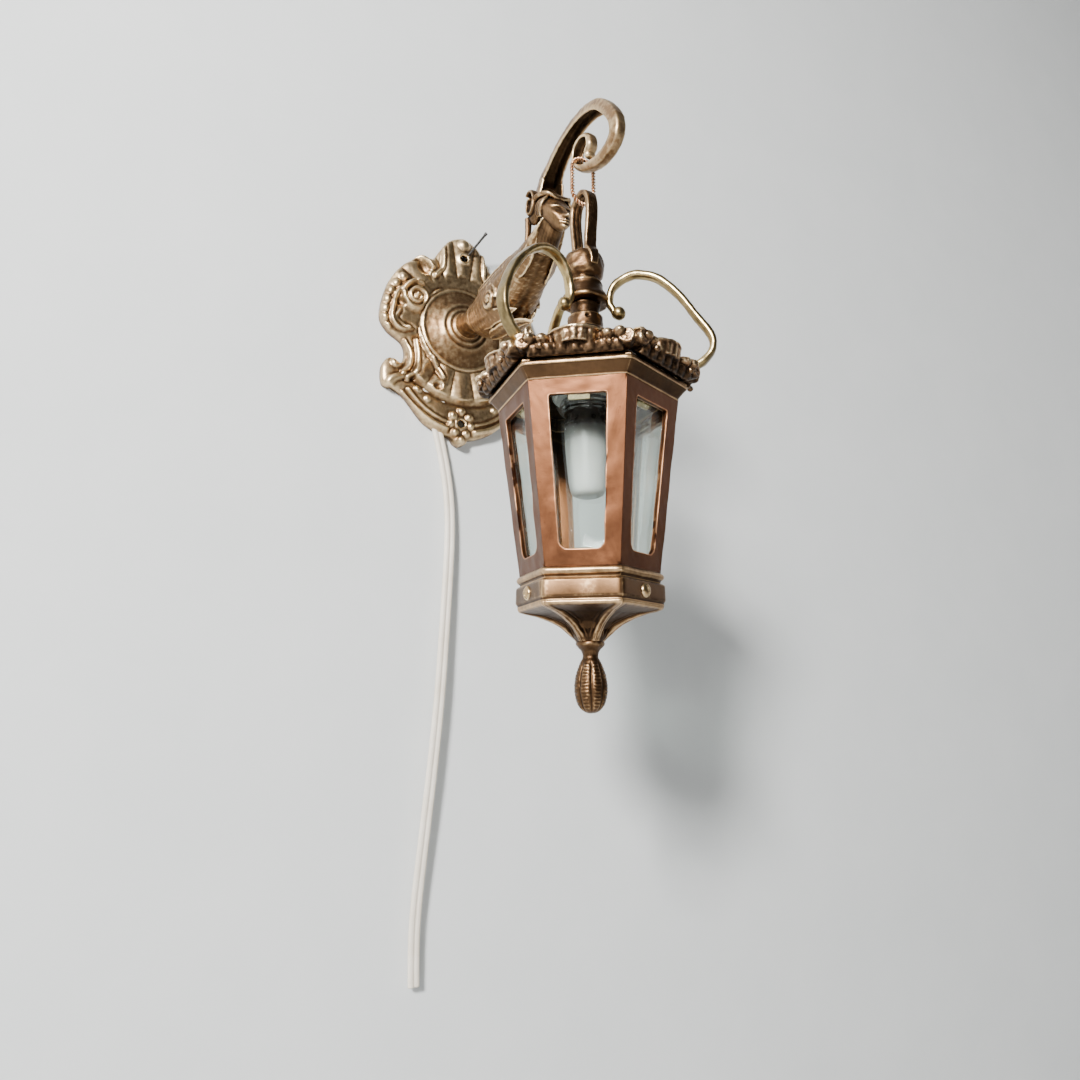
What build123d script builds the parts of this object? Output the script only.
from build123d import *
import math
import os

# Small hexagonal wall lantern that hangs from a figure bracket.
# Millimetres. X runs along the wall, +Y into the wall, +Z up.
# The origin is on the back plane of the wall plate, at the middle of the plate's outline.

os.makedirs("parts", exist_ok=True)

# ---------------------------------------------------------------- driving dimensions
PROJECTION = 152.0          # wall to the lantern's hanging line
WALL_CORNER = 82.0          # direction of the lantern corner nearest the wall, degrees from +X

PLATE_TOP = 67.0            # highest point of the wall plate
PLATE_BOTTOM = -67.0        # lowest point of the plate's outline, above its drop
PLATE_DROP = -72.0          # tip of the small drop under the plate
PLATE_THICK = 8.0
PLATE_WALL = 2.5
HOLES_Z = (52.0, -58.5)     # nail holes above and below the arm
HOLE_R = 2.0
DOME_Z = 3.0                # height of the arm's root on the plate
DOME_R = 27.0
DOME_TIP_R = 9.0
DOME_DEPTH = 15.0

LINK_TOP_Z = 28.4           # centre of the wire at the top of the hanging link
LINK_BOTTOM_Z = 4.6         # centre of the wire at the bottom of the hanging link
LINK_WIDTH = 11.8           # between wire centres
LINK_WIRE = 2.2

BAIL_TOP_Z = 10.9
BAIL_BAND = 6.2
BAIL_THICK = 3.0
KNOB_TOP_Z = -22.0
KNOB_BOTTOM_Z = -36.2
FLANGE_BOTTOM_Z = -47.2
NECK_BOTTOM_Z = -60.0
ROOF_TOP_Z = -64.0
CORNICE_TOP_Z = -89.9
CORNICE_BOTTOM_Z = -95.6
BODY_BOTTOM_Z = -172.2
COLLAR_TOP_Z = -177.0
COLLAR_BOTTOM_Z = -186.0
DISH_BOTTOM_Z = -201.0
FINIAL_TIP_Z = -230.2

CORNICE_R = 45.0            # hexagon corner radii
BODY_TOP_R = 40.4
BODY_BOTTOM_R = 30.4
COLLAR_R = 32.1
WALL = 2.2                  # lantern side frames
GLASS = 1.6
WINDOW_TOP_Z = -102.7
WINDOW_BOTTOM_Z = -165.6
WINDOW_TOP_WIDTH = 24.0
WINDOW_BOTTOM_WIDTH = 18.2
WINDOW_CHAMFER = 2.4

HOLDER_RIM_Z = -90.0        # mouth of the porcelain lampholder
HOLDER_R = 13.9
BULB_TIP_Z = -138.0
CORD_WIDTH = 6.4            # flat twin flex
CORD_THICK = 3.2

# Route of the flex: from its clamp under the plate, down the wall, to its cut end.
CORD_ROUTE = [
    (-18.5, -2.8, -42.0),
    (-16.8, -2.8, -54.0),
    (-13.2, -3.0, -66.0),
    (-9.2, -3.6, -84.0),
    (-6.2, -4.2, -102.0),
    (-5.0, -4.8, -124.0),
    (-6.0, -5.6, -150.0),
    (-8.1, -6.8, -184.0),
    (-10.5, -7.8, -222.0),
    (-14.1, -7.8, -262.0),
    (-18.0, -6.6, -302.0),
    (-20.9, -5.2, -334.0),
    (-21.3, -4.6, -356.0),
    (-20.6, -4.4, -372.5),
]

AXIS_Y = -PROJECTION
COS30 = math.cos(math.radians(30))
CORNERS = [WALL_CORNER + 60 * k for k in range(6)]
SIDES = [angle + 30 for angle in CORNERS]


# ---------------------------------------------------------------- helpers
def save(shape, node):
    export_step(shape, f"parts/{node}.step")


def polar(radius, angle, z):
    """Point around the lantern's hanging line."""
    a = math.radians(angle)
    return Vector(radius * math.cos(a), AXIS_Y + radius * math.sin(a), z)


def hexagon(radius, z):
    points = [polar(radius, a, z) for a in CORNERS]
    return Face(Wire.make_polygon(points, close=True))


def hex_loft(levels):
    """Solid with straight sides through hexagons given as (corner radius, height)."""
    solid = None
    for (r0, z0), (r1, z1) in zip(levels, levels[1:]):
        span = Solid.make_loft([hexagon(r0, z0).outer_wire(), hexagon(r1, z1).outer_wire()], ruled=True)
        solid = span if solid is None else solid + span
    return solid


def turned(profile, x=0.0, y=AXIS_Y):
    """Solid of revolution about a vertical line, from (radius, height) points."""
    points = [(x + r, y, z) for r, z in profile]
    face = Face(Wire.make_polygon([Vector(*p) for p in points], close=True))
    return revolve(face, Axis((x, y, 0), (0, 0, 1)), 360)


def tube(x, y, z0, z1, outer, inner=0.0):
    body = Pos(x, y, z0) * Cylinder(outer, z1 - z0, align=(Align.CENTER, Align.CENTER, Align.MIN))
    if inner:
        body -= Pos(x, y, z0 - 1) * Cylinder(inner, z1 - z0 + 2, align=(Align.CENTER, Align.CENTER, Align.MIN))
    return body


def offset_points(points, gaps):
    """Points moved sideways by their gaps, square to the line through their neighbours."""
    moved = []
    last = len(points) - 1
    for i, (a, b) in enumerate(points):
        a0, b0 = points[max(i - 1, 0)]
        a1, b1 = points[min(i + 1, last)]
        run = math.hypot(a1 - a0, b1 - b0)
        moved.append((a - gaps[i] * (b1 - b0) / run, b + gaps[i] * (a1 - a0) / run))
    return moved


def bar(left, right, width, plane):
    """Flat bar between two lines in the plane, width measured square to the plane."""
    edge_left = Spline(*[Vector(a, b) for a, b in left])
    edge_right = Spline(*[Vector(a, b) for a, b in right])
    start = Line(Vector(*left[0]), Vector(*right[0]))
    end = Line(Vector(*left[-1]), Vector(*right[-1]))
    face = make_face(plane * (edge_left + edge_right + start + end))
    return extrude(face, width / 2, dir=plane.z_dir, both=True)


def strap(points, thick, width, plane):
    """Bar of even thickness bent along points."""
    half = [thick / 2] * len(points)
    return bar(offset_points(points, half), offset_points(points, [-h for h in half]), width, plane)


def side_plane(angle, inset=0.0):
    """Plane on one sloping lantern side: x along the side, y up the slope, z outward."""
    top = BODY_TOP_R * COS30
    bottom = BODY_BOTTOM_R * COS30
    middle_z = (CORNICE_BOTTOM_Z + BODY_BOTTOM_Z) / 2
    a = math.radians(angle)
    tilt = math.atan2(top - bottom, CORNICE_BOTTOM_Z - BODY_BOTTOM_Z)
    out = Vector(math.cos(a) * math.cos(tilt), math.sin(a) * math.cos(tilt), -math.sin(tilt))
    along = Vector(-math.sin(a), math.cos(a), 0)
    origin = polar((top + bottom) / 2, angle, middle_z) - out * inset
    return Plane(origin=origin, x_dir=along, z_dir=out)


def on_slope(z):
    """Distance up the sloping side for a height."""
    tilt = math.atan2((BODY_TOP_R - BODY_BOTTOM_R) * COS30, CORNICE_BOTTOM_Z - BODY_BOTTOM_Z)
    return (z - (CORNICE_BOTTOM_Z + BODY_BOTTOM_Z) / 2) / math.cos(tilt)


def window_outline(margin):
    """Corner points of a window on its side plane, grown by margin."""
    top = on_slope(WINDOW_TOP_Z) + margin
    bottom = on_slope(WINDOW_BOTTOM_Z) - margin
    half_top = WINDOW_TOP_WIDTH / 2 + margin
    half_bottom = WINDOW_BOTTOM_WIDTH / 2 + margin
    cut = WINDOW_CHAMFER
    return [(-half_top, top), (half_top, top), (half_bottom, bottom + cut), (half_bottom - cut, bottom),
            (-half_bottom + cut, bottom), (-half_bottom, bottom + cut)]


# ---------------------------------------------------------------- wall plate
def plate_half():
    """Right half of the plate's outline, top to bottom, as (x, z)."""
    return [(0.0, PLATE_TOP), (8.5, 64.0), (15.5, 55.0), (20.5, 47.5), (27.5, 48.5), (33.5, 43.5),
            (42.0, 35.5), (49.0, 22.5), (52.3, 4.0), (48.0, -5.0), (38.5, -11.5), (36.0, -19.5),
            (39.5, -26.5), (45.5, -23.5), (50.0, -29.0), (49.3, -40.0), (43.0, -42.0), (35.5, -46.5),
            (23.5, -59.5), (12.0, -65.5), (0.0, PLATE_BOTTOM)]


def plate_face(rim):
    """The plate's outline, drawn in by about the width of its rim."""
    half = plate_half()
    full = half + [(-x, z) for x, z in reversed(half[1:-1])]
    points = [Vector(x * (1 - rim / 52.3), 0, z * (1 - rim / PLATE_TOP)) for x, z in full]
    return Face(Wire([Spline(*points, periodic=True)]))


def towards_room(shape, z, x=0.0, y=0.0):
    """Put a shape drawn up the +Z axis so that it points from the wall into the room."""
    return Pos(x, y, z) * Rot(90, 0, 0) * shape


STANDING = (Align.CENTER, Align.CENTER, Align.MIN)


def wall_plate():
    body = extrude(plate_face(0), PLATE_THICK, dir=(0, -1, 0))
    body += towards_room(Cone(DOME_R, DOME_TIP_R, DOME_DEPTH, align=STANDING), DOME_Z)
    body += Pos(0, -3.2, PLATE_DROP + 3.2) * Sphere(3.2)
    hollow_depth = PLATE_THICK - PLATE_WALL
    hollow = extrude(plate_face(3.6), hollow_depth, dir=(0, -1, 0))
    dome_space = Cone(DOME_R - PLATE_WALL, DOME_TIP_R - PLATE_WALL, DOME_DEPTH - PLATE_WALL, align=STANDING)
    body -= hollow + towards_room(dome_space, DOME_Z)
    for z in HOLES_Z:
        body += towards_room(Cylinder(4.2, PLATE_THICK, align=STANDING), z)
        body -= towards_room(Cylinder(HOLE_R, PLATE_THICK + 2, align=STANDING), z, y=1)
    body -= towards_room(Cylinder(STUD_R, DOME_DEPTH + 2, align=STANDING), DOME_Z, y=1)
    return body - cord_notch()


def cord_notch():
    """Slot in the plate's lower rim that the flex leaves through."""
    return Pos(-13.6, -2.4, -62.0) * Box(CORD_WIDTH + 5.0, 4.8, 18.0)


STUD_R = 3.0
ARM_ROOT_Y = -DOME_DEPTH
SOCKET_DEPTH = 9.0          # how far the stud runs into the arm
NUT_Y = -5.5
WASHER_Y = -DOME_DEPTH + PLATE_WALL


def across(y0, y1, outer, inner=0.0):
    """Round piece on the arm's fixing axis, from y0 to y1 towards the room."""
    body = towards_room(Cylinder(outer, y0 - y1, align=STANDING), DOME_Z, y=y0)
    if inner:
        body -= towards_room(Cylinder(inner, y0 - y1 + 2, align=STANDING), DOME_Z, y=y0 + 1)
    return body


def arm_stud():
    return across(NUT_Y + 2.0, ARM_ROOT_Y - SOCKET_DEPTH, STUD_R)


def arm_washer():
    return across(WASHER_Y + 1.5, WASHER_Y, 6.2, STUD_R)


def arm_nut():
    depth = NUT_Y - WASHER_Y - 1.5
    nut = towards_room(extrude(RegularPolygon(5.6, 6), depth), DOME_Z, y=NUT_Y)
    return nut - across(0, ARM_ROOT_Y, STUD_R)


CLAMP_Z = -48.0
CLAMP_SIZE = (14.0, 5.0)    # along X and Z
CORD_ROOM = 0.6             # gap round the flex in its clamp
BLOCK_SIZE = (12.0, 10.0)
PLATE_GAP = 0.3             # between the wall and what is inside the plate


def behind_plate(x, z, size):
    """Block that fills the depth of the plate's hollow."""
    depth = PLATE_THICK - PLATE_WALL
    return Pos(x, -(depth + PLATE_GAP) / 2, z) * Box(size[0], depth - PLATE_GAP, size[1])


def cord_clamp():
    """Saddle that holds the flex against the inside of the plate."""
    (x0, y0, z0), (x1, y1, z1) = CORD_ROUTE[:2]
    x = x0 + (x1 - x0) * (CLAMP_Z - z0) / (z1 - z0)
    channel = Box(CORD_WIDTH + 2 * CORD_ROOM, 2 * (CORD_THICK / 2 + 0.1 - y0), CLAMP_SIZE[1] + 2)
    return behind_plate(x, CLAMP_Z, CLAMP_SIZE) - Pos(x, 0, CLAMP_Z) * channel


def terminal_block():
    """Block above the end of the flex."""
    x, z = CORD_ROUTE[0][0], CORD_ROUTE[0][2]
    block = behind_plate(x, z + CORD_ROOM + BLOCK_SIZE[1] / 2, BLOCK_SIZE)
    for side in (-1, 1):
        block -= towards_room(Cylinder(1.6, 2.4, align=STANDING), z + 5.0, x + side * 2.8, y=0)
    return block


# ---------------------------------------------------------------- arm
def arm_section(y, z, half_width, half_height, lean):
    """Elliptical section of the arm, square to a direction leaning up by lean degrees."""
    a = math.radians(lean)
    plane = Plane(origin=(0, y, z), x_dir=(1, 0, 0), z_dir=(0, -math.cos(a), math.sin(a)))
    return plane * Ellipse(half_width, half_height)


def arm_body():
    sections = [(-16.0, DOME_Z, 8.0, 8.0, 0), (-25.0, 1.0, 7.0, 7.4, -14), (-38.0, -4.0, 10.0, 11.0, -12),
                (-54.0, -7.0, 13.0, 14.5, 0), (-72.0, -7.0, 14.4, 16.5, 10), (-90.0, -4.0, 12.8, 16.0, 20),
                (-104.0, -0.6, 10.2, 13.5, 30), (-116.0, 4.6, 7.4, 10.0, 38)]
    faces = [arm_section(*s).face() for s in sections]
    body = loft(faces)
    body += across(ARM_ROOT_Y, ARM_ROOT_Y - 3.0, 8.8)
    body += Pos(0, -93, -25) * Rot(-35, 0, 0) * Box(9.0, 5.0, 14.0)
    for side in (-1, 1):
        body += Pos(side * 11.4, -74, -10) * Rot(0, 90, 0) * Cylinder(7.5, 6.0)
    return body - across(0, ARM_ROOT_Y - SOCKET_DEPTH, STUD_R)


HEAD = (0, -125.2, 16.6)


def figure_head():
    skull = Pos(*HEAD) * Rot(-20, 0, 0) * scale(Sphere(1.0), by=(8.4, 10.4, 13.6))
    jaw = Pos(0, -131.0, 3.6) * scale(Sphere(1.0), by=(5.8, 6.6, 7.2))
    hair = Pos(0, -115.5, 24.0) * scale(Sphere(1.0), by=(8.8, 8.4, 9.0))
    ears = None
    for side in (-1, 1):
        ear = Pos(side * 8.4, -111.5, 24.0) * Rot(35, 0, side * -20) * Box(2.4, 7.0, 13.0)
        ears = ear if ears is None else ears + ear
    head = skull + jaw + hair + ears
    return head - arm_body()


# Outer line of the scroll as (y, z), from its foot on the head to the end of its curl, with the depth at each point.
HOOK_LINE = [(-110.8, 27.0), (-114.6, 33.6), (-117.3, 40.1), (-126.5, 47.1), (-137.2, 51.9), (-148.4, 53.9),
             (-159.4, 52.8), (-169.9, 48.5), (-178.7, 39.6), (-184.3, 29.6), (-184.2, 21.0), (-178.1, 15.8),
             (-169.0, 14.9), (-159.5, 17.6), (-150.8, 22.6), (-145.8, 29.6), (-146.9, 36.9), (-153.1, 40.1),
             (-159.9, 37.3), (-162.1, 31.0), (-159.2, 26.6)]
HOOK_DEPTH = [8.4, 7.4, 6.8, 6.2, 6.0, 6.0, 5.8, 5.6, 5.4, 5.2, 4.8, 4.4, 3.8, 3.0, 2.4, 2.4, 2.6, 2.6, 2.6, 2.6, 2.4]
HOOK_WIDTH = 6.8
HOOK_FOOT_WIDTH = 12.0


def scroll_hook():
    side = Plane(origin=(0, 0, 0), x_dir=(0, 1, 0), z_dir=(1, 0, 0))
    hook = bar(HOOK_LINE, offset_points(HOOK_LINE, HOOK_DEPTH), HOOK_WIDTH, side)
    foot = Pos(0, -115.0, 31.5) * Rot(-30, 0, 0) * Box(HOOK_FOOT_WIDTH, 9.6, 7.0)
    return (hook + foot) - figure_head()


# ---------------------------------------------------------------- link and bail
def hanging_link():
    """Long ring of round wire, parallel to the wall."""
    r = LINK_WIDTH / 2
    straight = LINK_TOP_Z - LINK_BOTTOM_Z - 2 * r
    plane = Plane(origin=(0, AXIS_Y, (LINK_TOP_Z + LINK_BOTTOM_Z) / 2), x_dir=(1, 0, 0), z_dir=(0, -1, 0))
    h = straight / 2
    path = (Line((r, -h), (r, h)) + ThreePointArc((r, h), (0, h + r), (-r, h))
            + Line((-r, h), (-r, -h)) + ThreePointArc((-r, -h), (0, -h - r), (r, -h)))
    wire = plane * Wire(path.edges())
    section = Plane(origin=plane.from_local_coords((r, 0, 0)), z_dir=(0, 0, 1)) * Circle(LINK_WIRE / 2)
    return sweep(section.face(), path=wire)


def bail():
    top = BAIL_TOP_Z - BAIL_THICK / 2
    half = [(-4.9, KNOB_TOP_Z), (-5.4, -16.0), (-6.6, -8.0), (-7.3, -0.5), (-6.0, 5.5), (-3.2, 8.6)]
    line = half + [(0.0, top)] + [(-y, z) for y, z in reversed(half)]
    side = Plane(origin=(0, AXIS_Y, 0), x_dir=(0, 1, 0), z_dir=(1, 0, 0))
    return strap(line, BAIL_THICK, BAIL_BAND, side) - bail_knob()


def bail_knob():
    top, low = KNOB_TOP_Z, KNOB_BOTTOM_Z
    knob = turned([(0, top), (7.6, top), (8.8, top - 2.0), (8.8, low + 4.5), (6.6, low + 1.8), (6.6, low), (0, low)])
    knob -= Pos(0, AXIS_Y, low - 1) * Cylinder(NIPPLE_R, 9.0, align=(Align.CENTER, Align.CENTER, Align.MIN))
    return knob


# ---------------------------------------------------------------- lantern top
NIPPLE_R = 4.8              # threaded tube through the neck


def neck_flange():
    top, low = KNOB_BOTTOM_Z - 0.3, FLANGE_BOTTOM_Z
    return turned([(NIPPLE_R, top), (8.4, top), (8.8, top - 3.0), (11.0, low + 2.2), (10.4, low), (NIPPLE_R, low)])


def neck_tube():
    top, low = FLANGE_BOTTOM_Z, NECK_BOTTOM_Z
    return turned([(NIPPLE_R, top), (7.2, top), (6.6, top - 5.0), (8.2, top - 6.2), (8.2, low), (NIPPLE_R, low)])


def nipple():
    return tube(0, AXIS_Y, HOLDER_RIM_Z + 19.0, KNOB_BOTTOM_Z - 0.3 + 7.5, NIPPLE_R - 0.05, 3.2)


def roof_cap():
    top, low = NECK_BOTTOM_Z, ROOF_TOP_Z
    return turned([(NIPPLE_R, top), (9.6, top), (12.6, low), (NIPPLE_R, low)])


def roof_shell():
    outer = hex_loft([(14.0, ROOF_TOP_Z), (CORNICE_R - 1.0, CORNICE_TOP_Z)])
    inner = hex_loft([(9.0, ROOF_TOP_Z - 3.0), (CORNICE_R - 5.5, CORNICE_TOP_Z - 0.01)])
    return outer - inner - tube(0, AXIS_Y, ROOF_TOP_Z - 6, ROOF_TOP_Z + 1, NIPPLE_R)


def cresting(angle):
    """Leaf-and-scroll crest that stands on one eave of the roof."""
    plane = Plane(origin=polar(0, 0, 0), x_dir=(-math.sin(math.radians(angle)), math.cos(math.radians(angle)), 0),
                  z_dir=(0, 0, 1))

    def profile(points, half_length):
        a = math.radians(angle)
        section = Plane(origin=polar(0, 0, 0), x_dir=(math.cos(a), math.sin(a), 0),
                        z_dir=(math.sin(a), -math.cos(a), 0))
        face = make_face(section * Polyline(*points, close=True))
        return extrude(face, half_length, dir=section.z_dir, both=True)

    slab = profile([(31.5, -80.8), (40.8, -86.5), (44.6, -86.5), (44.6, -83.6), (34.0, -76.2), (31.5, -76.2)], 17.6)
    shell = profile([(27.5, -77.0), (40.0, -85.0), (45.5, -85.6), (46.4, -82.8), (39.0, -74.5), (29.0, -70.0)], 9.5)
    body = slab + shell
    for side in (-1, 1):
        roll = Pos(side * 15.8, 0, 0) * Rot(90, 0, 0) * Cylinder(3.4, 12.0)
        body += plane * (Pos(0, -43.2, -81.4) * roll)
    return body - hex_roof_space()


def hex_roof_space():
    """Everything the roof fills, so that the crests sit on it."""
    return hex_loft([(14.0, ROOF_TOP_Z), (CORNICE_R - 1.0, CORNICE_TOP_Z)])


# Centre lines of the three hand-bent ribs as (distance from the hanging line, height).
RIB_LINES = {
    1: [(12.6, -50.6), (11.4, -47.0), (12.6, -41.0), (17.5, -35.6), (25.0, -33.2), (33.5, -35.6), (42.0, -43.2),
        (50.2, -54.8), (55.2, -66.0), (54.8, -73.5), (50.4, -79.2), (45.4, -81.6)],
    2: [(12.8, -50.4), (11.5, -46.5), (12.5, -39.6), (16.4, -34.2), (23.0, -31.0), (32.0, -32.6), (42.0, -39.8),
        (49.8, -49.6), (55.0, -61.0), (55.8, -68.5), (52.4, -75.8), (45.4, -81.6)],
    3: [(12.8, -50.4), (11.2, -46.5), (12.6, -40.2), (17.2, -36.0), (24.2, -34.0), (33.6, -37.0), (41.8, -45.0),
        (49.8, -56.6), (55.8, -66.2), (56.2, -73.0), (51.8, -78.6), (45.4, -81.6)],
}
RIB_WIDTH = 5.6
RIB_THICK = 2.2


def rib(number):
    a = math.radians(CORNERS[2 * (number - 1)])
    radial = Plane(origin=polar(0, 0, 0), x_dir=(math.cos(a), math.sin(a), 0), z_dir=(math.sin(a), -math.cos(a), 0))
    arch = strap(RIB_LINES[number], RIB_THICK, RIB_WIDTH, radial)
    curl = radial * (Pos(14.2, -52.4, 0) * Cylinder(2.4, RIB_WIDTH))
    foot = radial * (Pos(44.6, -84.4, 0) * Box(7.0, 5.6, 7.0))
    body = arch + curl + foot
    body -= tube(0, AXIS_Y, -60, -36, 11.0)
    return body - hex_roof_space()


def trim_from_crests(rib_body, crests):
    for crest in crests:
        rib_body -= crest
    return max(rib_body.solids(), key=lambda solid: solid.volume)


# ---------------------------------------------------------------- lantern body
def cornice():
    outer = hex_loft([(CORNICE_R, CORNICE_TOP_Z), (BODY_TOP_R, CORNICE_BOTTOM_Z)])
    opening = hex_loft([(37.0, CORNICE_TOP_Z + 1), (37.0, CORNICE_BOTTOM_Z - 1)])
    return outer - opening


def wedge(angle):
    """Sixth of the space round the hanging line, centred on a side."""
    reach = 70.0
    points = [polar(0, 0, -300), polar(reach, angle - 30, -300), polar(reach, angle + 30, -300)]
    return extrude(Face(Wire.make_polygon(points, close=True)), 300, dir=(0, 0, 1))


def body_shell():
    thin = WALL / COS30
    outer = hex_loft([(BODY_TOP_R, CORNICE_BOTTOM_Z), (BODY_BOTTOM_R, BODY_BOTTOM_Z)])
    inner = hex_loft([(BODY_TOP_R - thin, CORNICE_BOTTOM_Z), (BODY_BOTTOM_R - thin, BODY_BOTTOM_Z)])
    return outer - inner


def side_frame(angle, shell):
    plane = side_plane(angle)
    window = extrude(make_face(plane * Polyline(*window_outline(0), close=True)), 8, dir=plane.z_dir, both=True)
    return (shell & wedge(angle)) - window


def glass_pane(angle):
    plane = side_plane(angle, WALL + 0.02)
    face = make_face(plane * Polyline(*window_outline(2.2), close=True))
    return extrude(face, GLASS, dir=-plane.z_dir)


def pane_clip(angle, z, length):
    """Bent tab behind the frame that presses on the glass."""
    plane = side_plane(angle, WALL + 0.02 + GLASS)
    return plane * (Pos(0, on_slope(z), -0.6) * Box(length, 4.6, 1.2))


def clips(z, length):
    made = [pane_clip(angle, z, length) for angle in SIDES]
    return Compound(children=made)


def base_moulding():
    ring = hex_loft([(BODY_BOTTOM_R, BODY_BOTTOM_Z), (BODY_BOTTOM_R + 1.6, BODY_BOTTOM_Z - 1.3),
                     (BODY_BOTTOM_R + 1.6, BODY_BOTTOM_Z - 2.6), (BODY_BOTTOM_R + 0.4, BODY_BOTTOM_Z - 3.6),
                     (BODY_BOTTOM_R + 0.4, COLLAR_TOP_Z)])
    return ring - hex_loft([(26.6, BODY_BOTTOM_Z + 1), (26.6, COLLAR_TOP_Z - 1)])


def base_collar():
    ring = hex_loft([(COLLAR_R, COLLAR_TOP_Z), (COLLAR_R, COLLAR_BOTTOM_Z)])
    ring -= hex_loft([(28.4, COLLAR_TOP_Z + 1), (28.4, COLLAR_BOTTOM_Z - 1)])
    for angle in SCREW_SIDES:
        ring -= screw_axis(angle) * Cylinder(SCREW_R, 12.0)
    return ring


SCREW_SIDES = [SIDES[3], SIDES[5], SIDES[1]]
SCREW_R = 1.5
SCREW_Z = -181.2


def screw_axis(angle):
    a = math.radians(angle)
    plane = Plane(origin=polar(COLLAR_R * COS30, angle, SCREW_Z), x_dir=(-math.sin(a), math.cos(a), 0),
                  z_dir=(math.cos(a), math.sin(a), 0))
    return plane.location


def collar_screw(angle):
    shank = Pos(0, 0, -2.2) * Cylinder(SCREW_R, 4.4)
    head = Cylinder(2.9, 1.0, align=(Align.CENTER, Align.CENTER, Align.MIN))
    dome = Pos(0, 0, 1.0) * Cone(2.9, 1.6, 0.9, align=(Align.CENTER, Align.CENTER, Align.MIN))
    slot = Pos(0, 0, 1.6) * Box(6.4, 0.8, 0.9)
    return screw_axis(angle) * (shank + head + dome - slot)


def base_dish():
    """Ribbed hollow dish under the collar, drawn in to the finial."""
    levels = [(COLLAR_R, COLLAR_BOTTOM_Z), (29.2, COLLAR_BOTTOM_Z - 2.6), (20.0, -191.6), (12.4, -194.8),
              (7.6, -198.4), (6.2, DISH_BOTTOM_Z)]
    hollow = [(28.4, COLLAR_BOTTOM_Z), (26.6, COLLAR_BOTTOM_Z - 1.2), (17.5, -189.6), (10.0, -192.6)]
    return hex_loft(levels) - hex_loft(hollow) - tube(0, AXIS_Y, DISH_BOTTOM_Z - 1, -190, FINIAL_STUD_R)


FINIAL_STUD_R = 2.0


def finial():
    profile = [(0, DISH_BOTTOM_Z), (5.6, DISH_BOTTOM_Z), (5.6, -202.6), (4.0, -204.0), (3.4, -205.8),
               (4.2, -207.6), (6.0, -211.6), (7.0, -217.5), (6.8, -221.5), (5.2, -226.6), (2.6, -229.6),
               (0, FINIAL_TIP_Z)]
    body = turned(profile)
    return body - tube(0, AXIS_Y, -208, DISH_BOTTOM_Z + 1, FINIAL_STUD_R)


def finial_stud():
    stud = tube(0, AXIS_Y, -208, -189.0, FINIAL_STUD_R)
    nut = Pos(0, AXIS_Y, -192.6) * extrude(RegularPolygon(4.2, 6), 2.6)
    return stud + nut


# ---------------------------------------------------------------- lamp
def lampholder():
    rim, top = HOLDER_RIM_Z, HOLDER_RIM_Z + 19.0
    return turned([(CAP_R + 1.15, rim), (HOLDER_R, rim), (HOLDER_R, rim + 3.4), (12.6, rim + 5.0), (11.8, rim + 14.0),
                   (9.0, top), (0, top), (0, top - 3.0), (CAP_R + 1.15, top - 3.0)])


CAP_R = 6.9


def thread_shell():
    rim, top = HOLDER_RIM_Z, HOLDER_RIM_Z + 16.0
    return turned([(CAP_R + 0.08, rim + 0.6), (CAP_R + 1.12, rim + 0.6), (CAP_R + 1.12, top - 0.6),
                   (CAP_R + 0.08, top - 0.6)])


def centre_contact():
    top = HOLDER_RIM_Z + 16.0
    return tube(0, AXIS_Y, top - 1.4, top, 2.2)


def bulb_cap():
    rim, top = HOLDER_RIM_Z, HOLDER_RIM_Z + 15.0
    return turned([(0, rim - 1.0), (6.6, rim - 1.0), (CAP_R, rim), (CAP_R, top - 3.4), (4.0, top - 1.2),
                   (2.4, top - 0.6), (0, top - 0.6)])


def bulb_collar():
    rim = HOLDER_RIM_Z
    return turned([(0, rim - 1.0), (11.6, rim - 1.4), (11.6, rim - 3.4), (10.3, rim - 9.0), (10.2, rim - 14.0),
                   (0, rim - 14.0)])


def bulb_glass():
    rim, tip = HOLDER_RIM_Z - 14.0, BULB_TIP_Z
    return turned([(0, rim), (10.2, rim), (9.9, rim - 8.0), (8.7, rim - 22.0), (7.6, tip + 3.0), (6.2, tip + 0.8),
                   (3.6, tip), (0, tip)])


# ---------------------------------------------------------------- flex
def cord_radii(points):
    radii = []
    for a, b, c in zip(points, points[1:], points[2:]):
        first, second = Vector(*b) - Vector(*a), Vector(*c) - Vector(*b)
        turn = math.radians(first.get_angle(second))
        radii.append(0.45 * min(first.length, second.length) / math.tan(turn / 2))
    return radii


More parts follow.
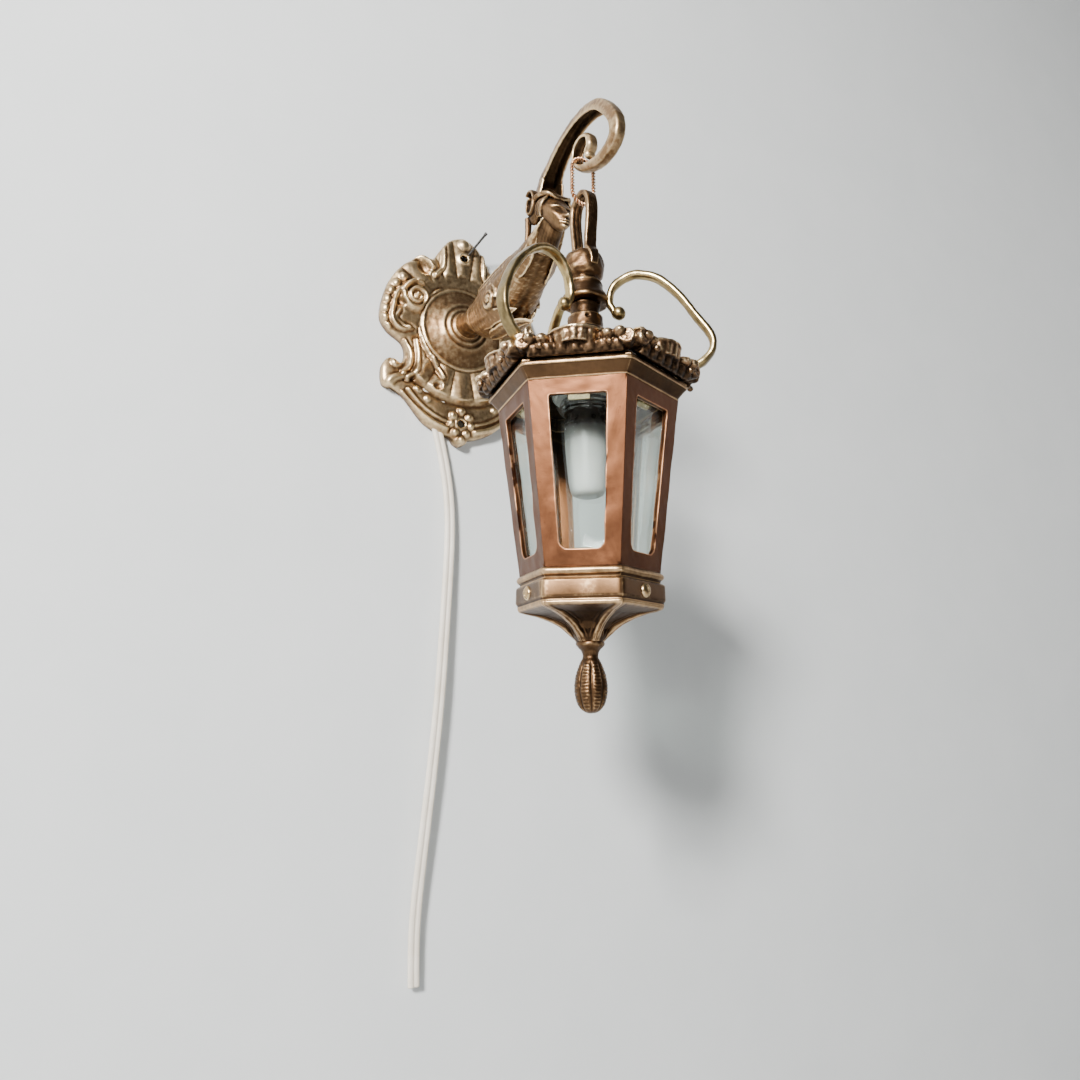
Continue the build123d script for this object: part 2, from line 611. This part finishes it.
def supply_cord():
    radii = cord_radii(CORD_ROUTE)
    print("flex bend radii", [round(r) for r in radii])
    path = FilletPolyline(*[Vector(*p) for p in CORD_ROUTE], radius=radii)
    start = Plane(origin=path @ 0, x_dir=(1, 0, 0), z_dir=path % 0)
    body = sweep((start * SlotOverall(CORD_WIDTH, CORD_THICK)).face(), path=path)
    section = (CORD_WIDTH - CORD_THICK) * CORD_THICK + math.pi * CORD_THICK ** 2 / 4
    print("flex length", round(path.length, 1), "volume ratio", round(body.volume / (section * path.length), 4))
    return body


# ---------------------------------------------------------------- build
def build():
    save(wall_plate(), "wall_plate")
    save(arm_stud(), "arm_stud")
    save(arm_washer(), "arm_washer")
    save(arm_nut(), "arm_nut")
    save(supply_cord(), "supply_cord")
    save(cord_clamp(), "cord_clamp")
    save(terminal_block(), "terminal_block")
    save(arm_body(), "arm_body")
    save(figure_head(), "figure_head")
    save(scroll_hook(), "scroll_hook")
    save(hanging_link(), "hanging_link")
    save(bail(), "bail")
    save(bail_knob(), "bail_knob")
    save(neck_flange(), "neck_flange")
    save(neck_tube(), "neck_tube")
    save(nipple(), "neck_nipple")
    save(roof_cap(), "roof_cap")
    save(roof_shell(), "roof_shell")
    crests = [cresting(angle) for angle in SIDES]
    for k, crest in enumerate(crests):
        save(crest, f"cresting_{k + 1}")
    for number in RIB_LINES:
        save(trim_from_crests(rib(number), crests), f"rib_{number}")
    save(cornice(), "cornice")
    shell = body_shell()
    for k, angle in enumerate(SIDES):
        save(side_frame(angle, shell), f"side_frame_{k + 1}")
        save(glass_pane(angle), f"glass_pane_{k + 1}")
    save(clips(-101.2, 9.0), "upper_clips")
    save(clips(-166.6, 8.0), "lower_clips")
    save(base_moulding(), "base_moulding")
    save(base_collar(), "base_collar")
    for k, angle in enumerate(SCREW_SIDES):
        save(collar_screw(angle), f"collar_screw_{k + 1}")
    save(base_dish(), "base_dish")
    save(finial(), "finial")
    save(finial_stud(), "finial_stud")
    save(lampholder(), "lampholder")
    save(thread_shell(), "thread_shell")
    save(centre_contact(), "centre_contact")
    save(bulb_cap(), "bulb_cap")
    save(bulb_collar(), "bulb_collar")
    save(bulb_glass(), "bulb_glass")


build()
